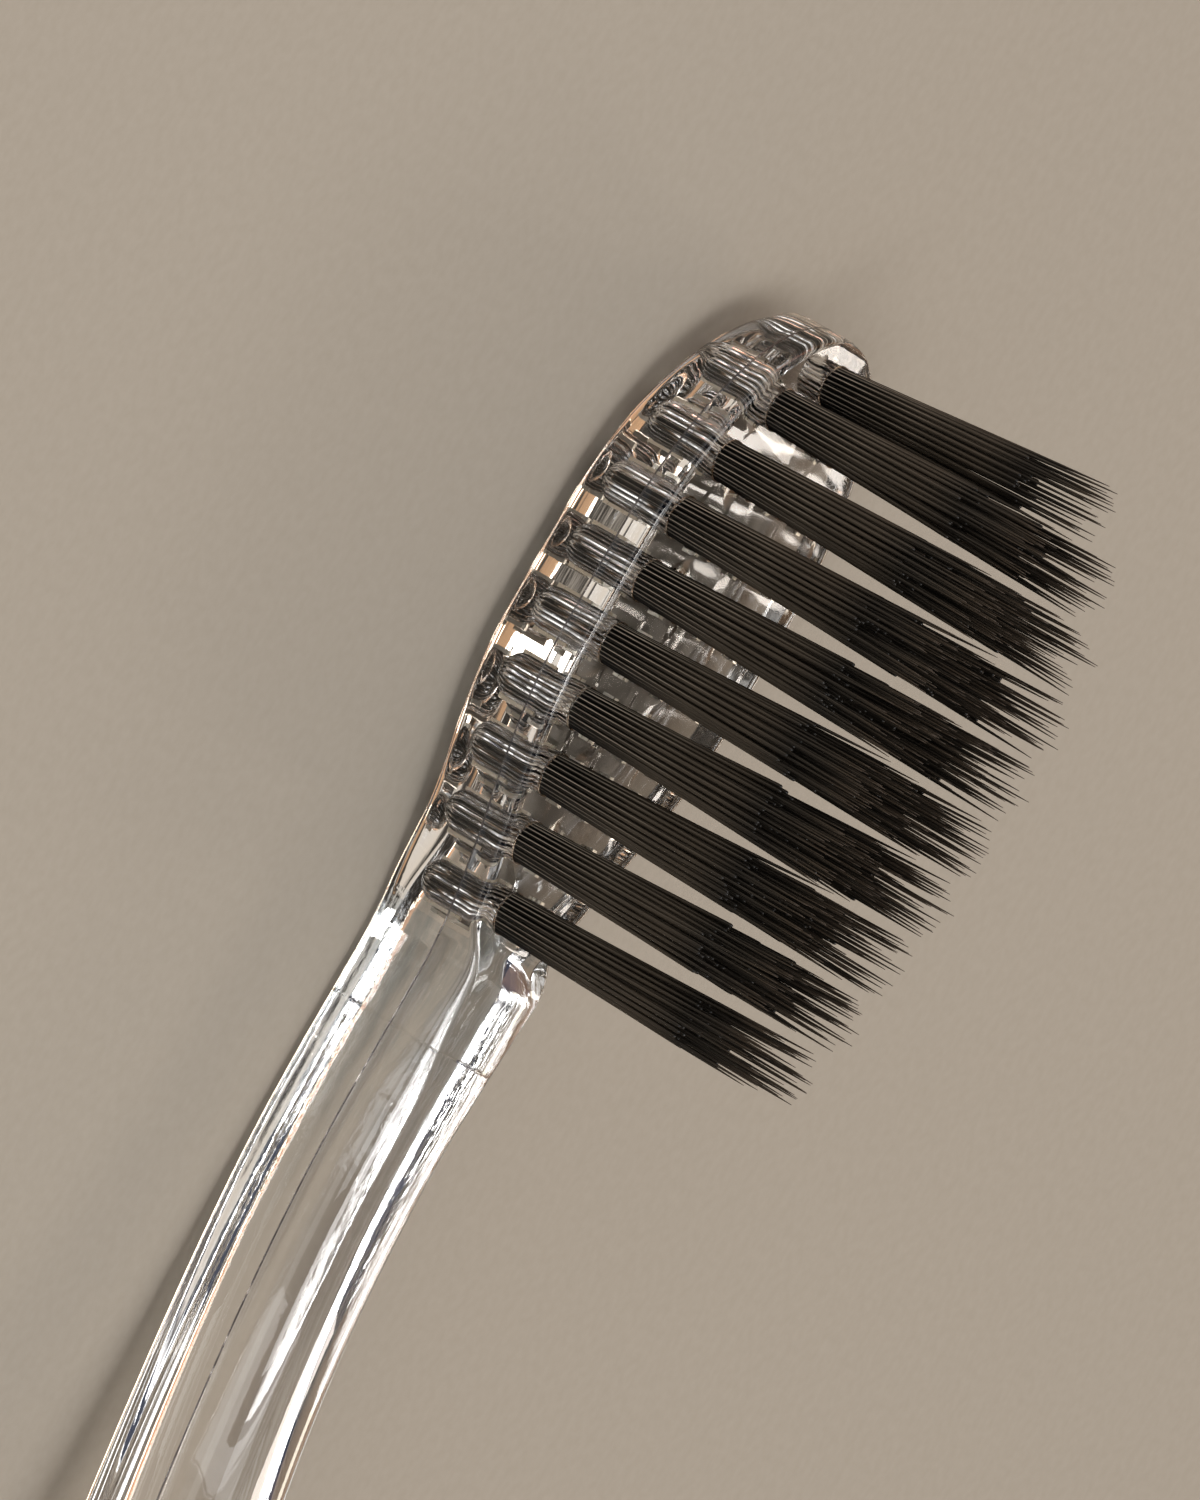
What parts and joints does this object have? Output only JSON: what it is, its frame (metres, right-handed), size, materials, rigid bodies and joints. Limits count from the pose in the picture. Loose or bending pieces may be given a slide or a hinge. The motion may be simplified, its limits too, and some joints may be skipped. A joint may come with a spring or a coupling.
{
  "type": "manual toothbrush",
  "caption": "Slim manual toothbrush with a clear moulded handle and head, dark tufts of blunt and tapered filaments, and an arched handle with a flat to rest on.",
  "frame": {"origin": "halfway along the brush on its middle plane, at the height of the surface that it lies on", "axes": "+X from the head towards the end of the handle, +Z the way that the bristles point, +Y across the brush"},
  "size_m": [0.184, 0.0124, 0.0142],
  "materials": {
    "clear_plastic": "clear, polished",
    "bristle": "dark nylon, satin",
    "anchor_wire": "nickel silver wire, cut"
  },
  "bodies": {
    "root": {"brush_body": "clear_plastic", "anchors_row1": "anchor_wire", "anchors_row2": "anchor_wire", "anchors_row3": "anchor_wire", "anchors_row4": "anchor_wire", "anchors_row5": "anchor_wire", "anchors_row6": "anchor_wire", "anchors_row7": "anchor_wire", "anchors_row8": "anchor_wire", "anchors_row9": "anchor_wire", "anchors_row10": "anchor_wire", "tuft_row1_1": "bristle", "tuft_row2_1": "bristle", "tuft_row2_2": "bristle", "tuft_row3_1": "bristle", "tuft_row3_2": "bristle", "tuft_row3_3": "bristle", "tuft_row3_4": "bristle", "tuft_row4_1": "bristle", "tuft_row4_2": "bristle", "tuft_row4_3": "bristle", "tuft_row4_4": "bristle", "tuft_row5_1": "bristle", "tuft_row5_2": "bristle", "tuft_row5_3": "bristle", "tuft_row5_4": "bristle", "tuft_row6_1": "bristle", "tuft_row6_2": "bristle", "tuft_row6_3": "bristle", "tuft_row6_4": "bristle", "tuft_row7_1": "bristle", "tuft_row7_2": "bristle", "tuft_row7_3": "bristle", "tuft_row7_4": "bristle", "tuft_row8_1": "bristle", "tuft_row8_2": "bristle", "tuft_row8_3": "bristle", "tuft_row8_4": "bristle", "tuft_row9_1": "bristle", "tuft_row9_2": "bristle", "tuft_row9_3": "bristle", "tuft_row10_1": "bristle", "tuft_row10_2": "bristle"}
  },
  "joints": []
}
